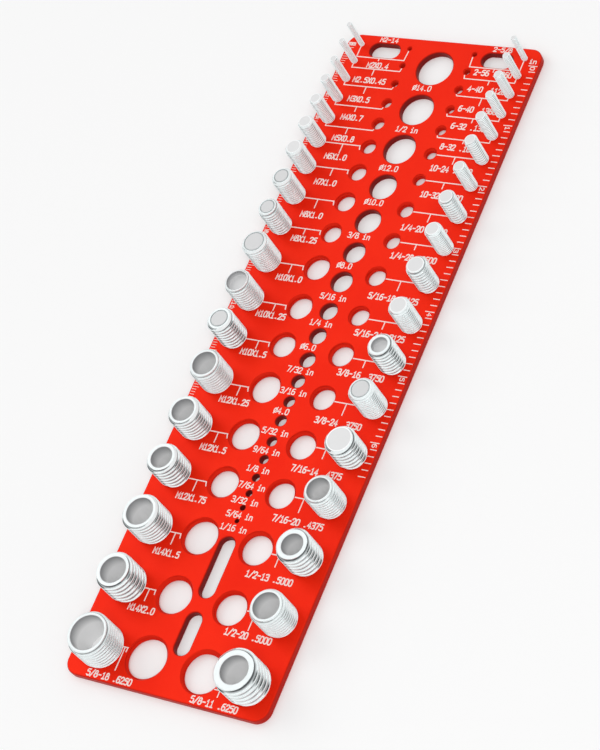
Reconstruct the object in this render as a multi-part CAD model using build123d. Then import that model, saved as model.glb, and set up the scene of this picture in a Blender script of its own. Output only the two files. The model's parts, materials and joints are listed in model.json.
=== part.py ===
from build123d import *
import os
from dataclasses import dataclass

# A flat plate that checks the threads of nuts and bolts: one stud and one tapped
# hole for each thread size, and a column of plain holes for shank diameters.
# All sizes are in millimetres. The plate lies on its back, with its long side along Y
# and its hanging slots at +Y, and the origin is the centre of its bottom face.

INCH = 25.4

# Plate
PLATE_LENGTH = 261.0
PLATE_WIDTH = 80.0
PLATE_THICKNESS = 3.0
CORNER_RADIUS = 5.0
EDGE_CHAMFER = 0.4

# Spaces up the plate: bottom edge to first row, row to row, last row to top edge.
# They are drawn for the real plate, and stretch with its length.
ROW_SPACES = (
    11.5, 23, 22, 20.5, 18.5, 18.5, 17, 15.5, 16, 14.5, 13, 12.5, 11, 10, 9, 8.5, 8, 7.5, 4.5,
)
STRETCH = PLATE_LENGTH / sum(ROW_SPACES)

# Columns: a stud keeps its edge inside the plate's, and a thin one keeps its axis inside it.
# A tapped hole's axis moves in as the hole grows, down to a least share of the plate's width.
STUD_EDGE_MARGIN = 3.0
STUD_AXIS_MARGIN = 6.4
HOLE_AXIS_LEAST = 0.14 * PLATE_WIDTH
HOLE_AXIS_LIMIT = 0.1725 * PLATE_WIDTH
HOLE_SHIFT_SHARE = 0.2

# Studs
THIN_STUD_HEIGHT = 12.5
THICK_STUD_HEIGHT = 11.2
THICK_STUD_FROM = 11.0
TIP_CHAMFER_SHARE = 0.12
TIP_CHAMFER_LIMIT = 1.0
RECESS_DEPTH = 2.5

# Thread form: minor diameter of a tapped hole is its major diameter less this share of the pitch
THREAD_DEPTH_SHARE = 1.0825
COUNTERSINK_SHARE = 0.08
COUNTERSINK_LIMIT = 0.5

# Plain gauge holes down the middle, and the spaces from the top edge down to each
GAUGE_DIAMETERS = (
    14, INCH / 2, 12, 10, INCH * 3 / 8, 8, INCH * 5 / 16, INCH / 4, 6, INCH * 7 / 32,
    INCH * 3 / 16, 4, INCH * 5 / 32, INCH * 9 / 64, INCH / 8, INCH * 7 / 64,
    INCH * 3 / 32, INCH * 5 / 64, INCH / 16,
)
GAUGE_SPACES = (
    12, 18, 17, 16, 14.5, 13, 12, 12, 10, 9.5, 8.5, 8, 7.5, 8, 7, 7, 6, 5.5, 5,
)
GAUGE_CHAMFER_SHARE = 0.08

# Slots: hanging ones from the top edge and the middle, and centre ones from the bottom edge,
# each of these as its low end and its high end
SLOT_WIDTH = 6.0
HANGING_SLOT_LENGTH = 12.4
HANGING_SLOT_X = 23.2
HANGING_SLOT_DROP = 6.3
CENTRE_SLOTS = ((15.0, 30.5), (36.0, 58.5))


@dataclass(frozen=True)
class Thread:
    """One thread size: its node name, major diameter and pitch, and its stud's bore."""

    name: str
    major: float
    pitch: float
    bore: float = 0.0
    blind: bool = False

    @property
    def minor(self):
        return self.major - THREAD_DEPTH_SHARE * self.pitch

    @property
    def stud_x(self):
        half = PLATE_WIDTH / 2
        return min(half - STUD_AXIS_MARGIN, half - STUD_EDGE_MARGIN - self.major / 2)

    @property
    def hole_x(self):
        return max(HOLE_AXIS_LEAST, HOLE_AXIS_LIMIT - HOLE_SHIFT_SHARE * self.major)

    @property
    def height(self):
        return THICK_STUD_HEIGHT if self.major > THICK_STUD_FROM else THIN_STUD_HEIGHT


def metric(major, pitch, bore=0.0, blind=False):
    """A metric thread, named by its diameter and pitch."""
    name = f"stud_m{major:g}x{pitch:g}".replace(".", "_")
    return Thread(name, major, pitch, bore, blind)


def inch(over, under, turns, bore=0.0, blind=False):
    """An inch thread of a fractional size, over / under, with its turns per inch."""
    return Thread(f"stud_{over}_{under}_{turns}", INCH * over / under, INCH / turns, bore, blind)


def gauge(number, turns):
    """An inch thread of a numbered size: 0.060 inch and 0.013 inch for each number."""
    return Thread(f"stud_no{number}_{turns}", INCH * (0.060 + 0.013 * number), INCH / turns)


# Both columns, from the bottom edge up
LEFT_THREADS = (
    inch(5, 8, 18, bore=12.4),
    metric(14, 2, bore=9.5),
    metric(14, 1.5, bore=9.9),
    metric(12, 1.75, bore=7.9),
    metric(12, 1.5, bore=8.4),
    metric(12, 1.25, bore=8.8),
    metric(10, 1.5),
    metric(10, 1.25, bore=7.6, blind=True),
    metric(10, 1),
    metric(8, 1.25),
    metric(8, 1),
    metric(7, 1),
    metric(6, 1),
    metric(5, 0.8),
    metric(4, 0.7),
    metric(3, 0.5),
    metric(2.5, 0.45),
    metric(2, 0.4),
)
RIGHT_THREADS = (
    inch(5, 8, 11, bore=9.9),
    inch(1, 2, 20, bore=9.3),
    inch(1, 2, 13, bore=7.7),
    inch(7, 16, 20, bore=8.1),
    inch(7, 16, 14),
    inch(3, 8, 24),
    inch(3, 8, 16, bore=5.7, blind=True),
    inch(5, 16, 24),
    inch(5, 16, 18),
    inch(1, 4, 28),
    inch(1, 4, 20),
    gauge(10, 32),
    gauge(10, 24),
    gauge(8, 32),
    gauge(6, 32),
    gauge(6, 40),
    gauge(4, 40),
    gauge(2, 56),
)


def running(spaces):
    """Distances along the plate, each space added to the last."""
    places = []
    for space in spaces:
        places.append(sum(places[-1:]) + space)
    return places


def from_bottom(distance):
    """Y of a point at a drawn distance above the plate's bottom edge."""
    return STRETCH * distance - PLATE_LENGTH / 2


def from_top(distance):
    """Y of a point at a drawn distance below the plate's top edge."""
    return PLATE_LENGTH / 2 - STRETCH * distance


def placed_threads():
    """Each thread with the side it is on, -1 or 1, and its row's Y."""
    rows = [from_bottom(place) for place in running(ROW_SPACES[:-1])]
    for side, threads in ((-1, LEFT_THREADS), (1, RIGHT_THREADS)):
        for thread, y in zip(threads, rows):
            yield thread, side, y


def hole_cutter(radius, sink):
    """A through hole's tool, a turned shape with a 45 degree countersink at each face."""
    top = PLATE_THICKNESS
    spare = EDGE_CHAMFER
    outline = Polyline(
        (0, -spare),
        (radius + sink + spare, -spare),
        (radius, sink),
        (radius, top - sink),
        (radius + sink + spare, top + spare),
        (0, top + spare),
        close=True,
    )
    return revolve(Plane.XZ * make_face(outline), Axis.Z)


def slot_cutter(x, y, length, rotation):
    """A slot's tool: the slot itself and a chamfer's widening at each face."""
    rim = SLOT_WIDTH + 2 * EDGE_CHAMFER
    place = Pos(x, y, 0) * Rot(Z=rotation)
    wide = place * SlotOverall(length + 2 * EDGE_CHAMFER, rim)
    bottom = extrude(wide, EDGE_CHAMFER, taper=45)
    top = Pos(0, 0, PLATE_THICKNESS) * extrude(wide, -EDGE_CHAMFER, taper=45)
    return extrude(place * SlotOverall(length, SLOT_WIDTH), PLATE_THICKNESS) + bottom + top


def plate_blank():
    """The plate before it is drilled, with rounded corners and chamfered rims."""
    outline = RectangleRounded(PLATE_WIDTH, PLATE_LENGTH, CORNER_RADIUS)
    blank = extrude(outline, PLATE_THICKNESS)
    rims = blank.faces().filter_by(Axis.Z).edges()
    return chamfer(rims, EDGE_CHAMFER)


def thread_holes():
    """Tools for the tapped holes and for the seats that the studs are set in."""
    for thread, side, y in placed_threads():
        sink = min(COUNTERSINK_LIMIT, COUNTERSINK_SHARE * thread.major)
        yield Pos(side * thread.hole_x, y, 0) * hole_cutter(thread.minor / 2, sink)
        seat = Circle(thread.minor / 2)
        yield Pos(side * thread.stud_x, y, 0) * extrude(seat, PLATE_THICKNESS)


def gauge_holes():
    """Tools for the column of plain holes."""
    for diameter, place in zip(GAUGE_DIAMETERS, running(GAUGE_SPACES)):
        sink = min(EDGE_CHAMFER, GAUGE_CHAMFER_SHARE * diameter)
        yield Pos(0, from_top(place), 0) * hole_cutter(diameter / 2, sink)


def slots():
    """Tools for the two hanging slots and the two slots down the middle."""
    for x in (-HANGING_SLOT_X, HANGING_SLOT_X):
        yield slot_cutter(x, from_top(HANGING_SLOT_DROP), HANGING_SLOT_LENGTH, 0)
    for low, high in CENTRE_SLOTS:
        middle = from_bottom((low + high) / 2)
        yield slot_cutter(0, middle, STRETCH * (high - low), 90)


def plate():
    """The drilled plate."""
    tools = [*thread_holes(), *gauge_holes(), *slots()]
    return plate_blank() - tools


def stud(thread):
    """One stud on its own axis: a shank through the plate, a shoulder on its top face, a tip."""
    radius = thread.major / 2
    shank = thread.minor / 2
    tip = PLATE_THICKNESS + thread.height
    lead = min(TIP_CHAMFER_LIMIT, TIP_CHAMFER_SHARE * thread.major)
    outline = Polyline(
        (0, 0),
        (shank, 0),
        (shank, PLATE_THICKNESS),
        (radius, PLATE_THICKNESS),
        (radius, tip - lead),
        (radius - lead, tip),
        (0, tip),
        close=True,
    )
    body = revolve(Plane.XZ * make_face(outline), Axis.Z)
    if thread.bore:
        depth = RECESS_DEPTH if thread.blind else tip
        body -= Pos(0, 0, tip - depth) * extrude(Circle(thread.bore / 2), depth)
    return body


def main():
    os.makedirs("parts", exist_ok=True)
    export_step(plate(), "parts/plate.step")
    for thread, side, y in placed_threads():
        placed = Pos(side * thread.stud_x, y, 0) * stud(thread)
        export_step(placed, f"parts/{thread.name}.step")


main()
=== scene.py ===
"""Dresses a nut and bolt thread checker and sets it under studio light.

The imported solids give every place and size: the studs' boxes give their major diameters and
heights, and the stated holes give the tapped and plain holes. This file adds the threads,
the rims, the printed sizes and rules, and the finishes. Lengths are in metres in the scene.
In the printing's tables and calls they are in millimetres, from the plate's middle and its
lower edge.
"""

import json
import logging
import math
from collections.abc import Callable, Iterable
from dataclasses import dataclass
from enum import Enum
from functools import lru_cache

import bpy
import numpy as np
from bpy.types import Material, Mesh, NodeSocket, NodeTree, Object
from mathutils import Matrix, Vector
from mathutils.geometry import delaunay_2d_cdt


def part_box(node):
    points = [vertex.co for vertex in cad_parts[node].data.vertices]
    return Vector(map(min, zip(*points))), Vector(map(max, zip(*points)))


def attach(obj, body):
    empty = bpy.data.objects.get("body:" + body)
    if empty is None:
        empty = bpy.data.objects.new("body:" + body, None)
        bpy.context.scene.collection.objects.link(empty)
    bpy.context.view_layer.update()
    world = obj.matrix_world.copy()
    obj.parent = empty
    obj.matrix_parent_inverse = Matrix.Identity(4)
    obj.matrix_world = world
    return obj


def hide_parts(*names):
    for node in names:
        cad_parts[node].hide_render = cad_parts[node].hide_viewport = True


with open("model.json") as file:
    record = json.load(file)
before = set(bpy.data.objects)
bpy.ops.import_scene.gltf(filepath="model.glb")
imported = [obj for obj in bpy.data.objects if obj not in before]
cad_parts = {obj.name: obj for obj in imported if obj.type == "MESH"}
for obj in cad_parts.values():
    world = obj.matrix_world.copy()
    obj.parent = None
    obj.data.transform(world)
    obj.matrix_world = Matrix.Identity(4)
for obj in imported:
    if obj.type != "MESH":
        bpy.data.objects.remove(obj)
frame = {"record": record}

MM = 0.001
SHARP_ANGLE = math.radians(32)
Array = np.ndarray
Rings = tuple[Array, Array]
Corner = tuple[float, float]
Triple = tuple[float, float, float]
log = logging.getLogger("thread_checker")


@lru_cache(maxsize=None)
def node_box(node: str) -> tuple[Array, Array]:
    """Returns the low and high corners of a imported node's box."""
    low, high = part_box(node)
    return np.array(low), np.array(high)


def stated(start: str) -> dict[str, dict]:
    """Returns the mounts whose names begin with start, by the rest of their names."""
    mounts = frame["record"]["mounts"]
    return {m["name"].removeprefix(start): m for m in mounts if m["name"].startswith(start)}


def chord(radius: float, offset: float) -> float:
    """Returns half a circle's width at an offset from its middle: sqrt(r * r - d * d)."""
    return math.sqrt(max(radius * radius - offset * offset, 0.0))


class Direction(Enum):
    """Which way a wall faces, seen from the axis that it goes round."""

    OUTWARD = 1
    INWARD = -1


class EndKind(Enum):
    """What a stud's end face has: a bore right through, a recess, a ring mark or nothing."""

    BORE = 1
    RECESS = 2
    RING = 3
    SOLID = 4


class Wire:
    """A node's output that ordinary arithmetic acts on, adding Math nodes."""

    def __init__(self, bench: "NodeBench", socket: NodeSocket | None) -> None:
        """Wraps an output of the bench's tree."""
        self.bench = bench
        self.socket = socket

    def _math(self, operation: str, first: object, second: object) -> "Wire":
        """Returns first operation second as a new wire."""
        return self.bench.add("ShaderNodeMath", {"operation": operation}, (first, second))

    def __add__(self, other: object) -> "Wire":
        """Returns this plus other."""
        return self._math("ADD", self, other)

    __radd__ = __add__

    def __sub__(self, other: object) -> "Wire":
        """Returns this minus other."""
        return self._math("SUBTRACT", self, other)

    def __rsub__(self, other: object) -> "Wire":
        """Returns other minus this."""
        return self._math("SUBTRACT", other, self)

    def __mul__(self, other: object) -> "Wire":
        """Returns this times other."""
        return self._math("MULTIPLY", self, other)

    __rmul__ = __mul__


class NodeBench:
    """Adds nodes to one material's or the world's tree."""

    def __init__(self, tree: NodeTree) -> None:
        """Takes a node tree and empties it."""
        self.tree = tree
        tree.nodes.clear()

    def plug(self, socket: NodeSocket, value: object) -> None:
        """Joins a wire to an input, or sets the input's own value.

        Args:
            socket: the input.
            value: a wire, a number, a colour or a vector.
        """
        if isinstance(value, Wire):
            self.tree.links.new(value.socket, socket)
        elif isinstance(value, (tuple, list)):
            room = len(socket.default_value)
            socket.default_value = (*value, 1.0)[:room] if len(value) < room else value
        else:
            socket.default_value = value

    def add(
        self,
        kind: str,
        settings: dict[str, object] | None = None,
        inputs: dict[str | int, object] | tuple | None = None,
        output: str | int = 0,
    ) -> Wire:
        """Adds any node.

        Args:
            kind: the node's type.
            settings: attributes, set first.
            inputs: values or wires by name or number, or in order as a tuple.
            output: the name or number of the output that is wanted.

        Returns:
            That output as a wire, which is empty for a node with no output.
        """
        node = self.tree.nodes.new(kind)
        for name, value in (settings or {}).items():
            setattr(node, name, value)
        named = inputs.items() if isinstance(inputs, dict) else enumerate(inputs or ())
        for name, value in named:
            self.plug(node.inputs[name], value)
        return Wire(self, node.outputs[output] if len(node.outputs) else None)

    def noise(self, scale: float, detail: float = 3.0) -> Wire:
        """Returns noise from 0 to 1 on Object coordinates, with scale features to a metre."""
        place = self.add("ShaderNodeTexCoord", output="Object")
        return self.add("ShaderNodeTexNoise", None, {"Vector": place, "Scale": scale, "Detail": detail})

    def blend(self, share: object, low: object, high: object) -> Wire:
        """Returns a colour between low, where share is 0, and high, where it is 1."""
        return self.add("ShaderNodeMix", {"data_type": "RGBA"}, {0: share, 6: low, 7: high}, 2)

    def between(self, wire: Wire, low: float, high: float) -> Wire:
        """Returns the wire stretched so that low becomes 0 and high 1, and held there."""
        inputs = {"Value": wire, "From Min": low, "From Max": high}
        return self.add("ShaderNodeMapRange", {"clamp": True}, inputs)

    def attribute(self, name: str) -> Wire:
        """Returns a number that each point of the mesh carries."""
        return self.add("ShaderNodeAttribute", {"attribute_name": name}, output="Fac")

    def bump(self, height: Wire, depth: float) -> Wire:
        """Returns normals for a height from 0 to 1 that stands for a depth in metres."""
        inputs = {"Strength": 1.0, "Distance": depth, "Height": height}
        return self.add("ShaderNodeBump", None, inputs, "Normal")


def new_material(name: str) -> tuple[Material, NodeBench]:
    """Makes an empty node material.

    Args:
        name: the material's name.

    Returns:
        The material and its bench.
    """
    material = bpy.data.materials.new(name)
    material.use_nodes = True
    return material, NodeBench(material.node_tree)


def close_surface(bench: NodeBench, inputs: dict[str, object]) -> None:
    """Ends a material in one Principled shader with these inputs."""
    shader = bench.add("ShaderNodeBsdfPrincipled", None, inputs, "BSDF")
    bench.add("ShaderNodeOutputMaterial", None, {"Surface": shader})


@dataclass(frozen=True)
class RedAnodise:
    """Blasted aluminium with a bright red anodised skin. Scales are in features to a metre."""

    colour: Triple = (0.88, 0.022, 0.004)
    deep: Triple = (0.82, 0.015, 0.003)
    # wall: a dark red painted onto the hole, slot and side walls as shade
    wall: Triple = (0.22, 0.009, 0.007)
    metal: float = 0.3
    roughness: float = 0.42
    cloud_scale: float = 45.0
    speck_scale: float = 2400.0
    blast_scale: float = 5200.0
    blast_depth: float = 0.004 * MM

    def material(self) -> Material:
        """Makes the material: cloudy dye, a fine blasted grain and a soft sheen.

        The point value inner marks the walls of the holes and sides, which take the dark wall colour as
        painted shade.

        Returns:
            The material.
        """
        material, bench = new_material("red_anodise")
        cloud = bench.between(bench.noise(self.cloud_scale, 4.0), 0.35, 0.68)
        grain = bench.noise(self.blast_scale, 2.0)
        speck = bench.between(bench.noise(self.speck_scale, 2.0), 0.3, 0.75)
        colour = bench.blend(cloud * 0.55 + speck * 0.25, self.colour, self.deep)
        # Base colour: inner blends the dye to the wall colour, painted shade on the plate's walls
        close_surface(bench, {
            "Base Color": bench.blend(bench.attribute("inner"), colour, self.wall),
            "Roughness": self.roughness + cloud * 0.05 + speck * 0.05,
            "Normal": bench.bump(grain, self.blast_depth),
            "Metallic": self.metal,
            "Specular IOR Level": 0.08,
        })
        return material


@dataclass(frozen=True)
class BrightPlating:
    """Turned steel with a bright nickel plating, with painted shade in the roots of its thread and in its
    bores' mouths.
    """

    name: str = "bright_plating"
    colour: Triple = (0.9, 0.965, 0.97)
    worn_share: float = 0.95
    # root: a near black painted as shade in the thread's roots and deep flanks
    root: Triple = (0.07, 0.075, 0.08)
    # mouth: a dark grey painted as shade near a bore's mouth; deep: the near white below it
    mouth: Triple = (0.28, 0.285, 0.295)
    deep: Triple = (0.985, 0.985, 0.985)
    metal: float = 0.92
    metal_satin: float = 0.08
    root_level: float = 1.0
    roughness: float = 0.09
    cloud_scale: float = 380.0
    grain_scale: float = 6000.0
    grain_depth: float = 0.0015 * MM

    def material(self) -> Material:
        """Makes the material, which the points' values groove and inner steer.

        Groove is a place's depth in the thread: root_level, or near it, is a root. The flanks
        are bright metal, and the roots and deep flanks are painted dark as shade; where groove
        is 0, on crests and end faces, the plating is a satin. Inner marks what is turned and
        left matt, the bores and the solid studs' end faces. It is 1 near a bore's mouth, which
        gives the mouth's dark grey, painted shade, and a half deep inside, which gives the near
        white deep colour.

        Returns:
            The material.
        """
        material, bench = new_material(self.name)
        groove = bench.attribute("groove")
        inner = bench.attribute("inner")
        bore = bench.between(inner, 0.0, 0.3)
        cloud = bench.between(bench.noise(self.cloud_scale, 3.0), 0.3, 0.7)
        grain = bench.noise(self.grain_scale, 2.0)
        # Painted shade: dark where the groove value is high, in the roots, the deep flanks and the ring
        # marks' grooves
        painted_root_shade = bench.between(groove + cloud * 0.12, 0.5, 1.0)
        flank = bench.between(groove, 0.03, 0.22)
        flank = flank * (1 - bench.between(groove, 0.35 * self.root_level, 0.8 * self.root_level))
        bright = bench.blend(cloud, self.colour, tuple(self.worn_share * c for c in self.colour))
        # Painted shade: a bore goes from dark grey at its mouth to near white deeper down
        turned = bench.blend(bench.between(inner, 0.5, 1.0), self.deep, self.mouth)
        clean = bench.blend(bore, bright, turned)
        close_surface(bench, {
            "Base Color": bench.blend(painted_root_shade, clean, self.root),
            "Metallic": self.metal_satin + flank * (self.metal - self.metal_satin),
            "Roughness": self.roughness + 0.2 - flank * 0.2 + cloud * 0.08 + painted_root_shade * 0.2 + bore * 0.1,
            "Normal": bench.bump(grain, self.grain_depth),
        })
        return material


@dataclass(frozen=True)
class PrintedWhite:
    """White paint, slightly worn, filled into shallow marks."""

    colour: Triple = (0.93, 0.75, 0.71)
    thin: Triple = (0.92, 0.5, 0.44)
    wear_scale: float = 1500.0
    grain_scale: float = 7000.0
    grain_depth: float = 0.003 * MM

    def material(self) -> Material:
        """Makes the material: mostly opaque white, a little red where the paint is thin.

        Returns:
            The material.
        """
        material, bench = new_material("printed_white")
        wear = bench.between(bench.noise(self.wear_scale, 4.0), 0.52, 0.8)
        close_surface(bench, {
            "Base Color": bench.blend(wear * 0.5, self.colour, self.thin),
            "Roughness": 0.55 + wear * 0.2,
            "Normal": bench.bump(bench.noise(self.grain_scale, 2.0), self.grain_depth),
            "Specular IOR Level": 0.3,
        })
        return material


class Shell:
    """A mesh put together from rings of points, in metres, with triangles between them."""

    def __init__(self) -> None:
        """Starts with no points."""
        self.points: list[Array] = []
        self.values: list[Array] = []
        self.triangles: list[Array] = []
        self.soft: list[Array] = []
        self.count = 0

    def add_points(
        self, points: Array, groove: Array | float = 0.0, inner: float = 0.0
    ) -> Array:
        """Adds points.

        Args:
            points: an array of n by 3.
            groove: how deep each point is in a groove, from 0 to 1.
            inner: how far the points are inside a hole or a matt place, from 0 to 1. The finishes turn it
                into painted shade on the plate's walls and in the studs' bores.

        Returns:
            The new points' indices.
        """
        index = np.arange(self.count, self.count + len(points))
        self.points.append(np.asarray(points, float))
        values = np.zeros((len(points), 2))
        values[:, 0] = groove
        values[:, 1] = inner
        self.values.append(values)
        self.count += len(points)
        return index

    def add_triangles(self, triangles: Array) -> None:
        """Adds rows of three indices, leaving out those with a repeated corner."""
        a, b, c = triangles.T
        self.triangles.append(triangles[(a != b) & (b != c) & (c != a)])

    def quads(self, a: Array, b: Array, c: Array, d: Array) -> None:
        """Adds quads, each as two triangles.

        Args:
            a, b, c, d: the corners' indices, in four arrays of one shape.
        """
        a, b, c, d = (part.ravel() for part in (a, b, c, d))
        self.add_triangles(np.stack([a, b, c], axis=1))
        self.add_triangles(np.stack([a, c, d], axis=1))

    def bridge(self, low: Array, high: Array, facing: Direction) -> None:
        """Joins two closed rings of as many points by a band.

        Args:
            low: the lower ring's indices, counterclockwise seen from above.
            high: the upper ring's.
            facing: whether the band faces out of the ring or into it.
        """
        after_low, after_high = np.roll(low, -1), np.roll(high, -1)
        if facing is Direction.OUTWARD:
            self.quads(low, after_low, after_high, high)
        else:
            self.quads(low, high, after_high, after_low)

    def fan(self, ring: Array, centre: Array, up: bool, inner: float = 0.0) -> None:
        """Closes a ring with triangles to a centre point.

        Args:
            ring: the ring's indices, counterclockwise seen from above.
            centre: the point in the middle.
            up: whether the triangles face up.
            inner: the middle point's inner value.
        """
        middle = np.full(len(ring), self.add_points(centre[None, :], 0.0, inner)[0])
        after = np.roll(ring, -1)
        corners = (ring, after, middle) if up else (after, ring, middle)
        self.add_triangles(np.stack(corners, axis=1))

    def sheet(self, outline: Array, holes: tuple[Array, ...], up: bool) -> None:
        """Fills a flat face between an outline and its holes with triangles.

        A constrained triangulation joins all the rings, and a triangle is dropped where its
        three corners are on one hole, because every hole is convex.

        Args:
            outline: the outer ring's indices.
            holes: the indices of each hole's ring.
            up: whether the face looks up.
        """
        rings = [outline, *holes]
        index = np.concatenate(rings)
        owner = np.concatenate([np.full(len(r), i) for i, r in enumerate(rings)])
        where = np.vstack(self.points)[index, :2] / MM
        start = np.cumsum([0, *[len(r) for r in rings[:-1]]])
        edges = np.concatenate([
            np.stack([first + np.arange(len(r)), first + np.roll(np.arange(len(r)), -1)], axis=1)
            for first, r in zip(start, rings)
        ])
        flat = [Vector(point) for point in where.tolist()]
        done = delaunay_2d_cdt(flat, edges.tolist(), [], 0, 1e-7)
        source = np.array([group[0] for group in done[3]])
        faces = source[np.array(done[2])]
        same = (owner[faces[:, 0]] == owner[faces[:, 1]]) & (owner[faces[:, 1]] == owner[faces[:, 2]])
        faces = faces[~(same & (owner[faces[:, 0]] > 0))]
        a, b, c = where[faces[:, 0]], where[faces[:, 1]], where[faces[:, 2]]
        turn = (b[:, 0] - a[:, 0]) * (c[:, 1] - a[:, 1]) - (b[:, 1] - a[:, 1]) * (c[:, 0] - a[:, 0])
        wrong = (turn > 0) != up
        faces[wrong] = faces[wrong][:, ::-1]
        self.add_triangles(index[faces])

    def mesh_object(self, name: str, material: Material) -> Object:
        """Makes the object, smooth over curves and sharp at steep edges.

        Edges between soft points, such as a rolled thread's crests, stay smooth.

        Args:
            name: the object's and its mesh's name.
            material: its finish.

        Returns:
            The object, linked to the scene.
        """
        points = np.vstack(self.points)
        triangles = np.vstack(self.triangles)
        used, inverse = np.unique(triangles, return_inverse=True)
        triangles = inverse.reshape(triangles.shape)
        mesh = bpy.data.meshes.new(name)
        mesh.vertices.add(len(used))
        mesh.vertices.foreach_set("co", points[used].ravel())
        mesh.loops.add(triangles.size)
        mesh.loops.foreach_set("vertex_index", triangles.ravel())
        mesh.polygons.add(len(triangles))
        mesh.polygons.foreach_set("loop_start", np.arange(0, triangles.size, 3))
        mesh.polygons.foreach_set("use_smooth", np.ones(len(triangles), bool))
        values = np.vstack(self.values)[used]
        for column, name_of_value in enumerate(("groove", "inner")):
            layer = mesh.attributes.new(name_of_value, "FLOAT", "POINT")
            layer.data.foreach_set("value", np.ascontiguousarray(values[:, column]))
        mesh.update(calc_edges=True)
        mesh.validate()
        mesh.set_sharp_from_angle(angle=SHARP_ANGLE)
        if self.soft:
            self.soften(mesh, np.isin(used, np.concatenate(self.soft)))
        mesh.materials.append(material)
        made = bpy.data.objects.new(name, mesh)
        bpy.context.scene.collection.objects.link(made)
        return made

    @staticmethod
    def soften(mesh: Mesh, soft: Array) -> None:
        """Takes the sharpness off the edges whose two points are soft.

        Args:
            mesh: the mesh, with its sharp edges found.
            soft: whether each point is soft.
        """
        ends = np.empty(2 * len(mesh.edges), np.int32)
        mesh.edges.foreach_get("vertices", ends)
        sharp = np.empty(len(mesh.edges), bool)
        mesh.attributes["sharp_edge"].data.foreach_get("value", sharp)
        keep = sharp & ~soft[ends.reshape(-1, 2)].all(axis=1)
        mesh.attributes["sharp_edge"].data.foreach_set("value", keep)


def circle(centre: Array, radius: float, height: float, count: int) -> Array:
    """Works out points round a circle: centre + radius * (cos t, sin t), t in equal steps.

    Args:
        centre: the middle, x and y.
        radius: the circle's radius.
        height: z of all the points.
        count: how many points there are.

    Returns:
        The points, counterclockwise.
    """
    turn = np.arange(count) * 2 * np.pi / count
    across = centre[0] + radius * np.cos(turn)
    along = centre[1] + radius * np.sin(turn)
    return np.stack([across, along, np.full(count, height)], axis=1)


def stadium(centre: Array, half: Array, radius: float, height: float, arc: int) -> Array:
    """Works out the outline of a box with rounded corners.

    Each corner is a quarter circle of arc + 1 points about half - radius in its quadrant.

    Args:
        centre: the middle, x and y.
        half: half the width and half the length.
        radius: the corners' radius.
        height: z of all the points.
        arc: steps in each corner.

    Returns:
        The points, counterclockwise.
    """
    turn = np.linspace(0, np.pi / 2, arc + 1)
    quarter = np.concatenate([turn + k * np.pi / 2 for k in range(4)])
    sign_x = np.repeat([1, -1, -1, 1], arc + 1)
    sign_y = np.repeat([1, 1, -1, -1], arc + 1)
    across = centre[0] + sign_x * (half[0] - radius) + radius * np.cos(quarter)
    along = centre[1] + sign_y * (half[1] - radius) + radius * np.sin(quarter)
    return np.stack([across, along, np.full(len(across), height)], axis=1)


def steps_round(radius: float) -> int:
    """Returns how many points go round a hole or stud: more on a larger one."""
    return int(np.clip(8 * round((26 + 8 * radius / MM) / 8), 32, 88))


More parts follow.
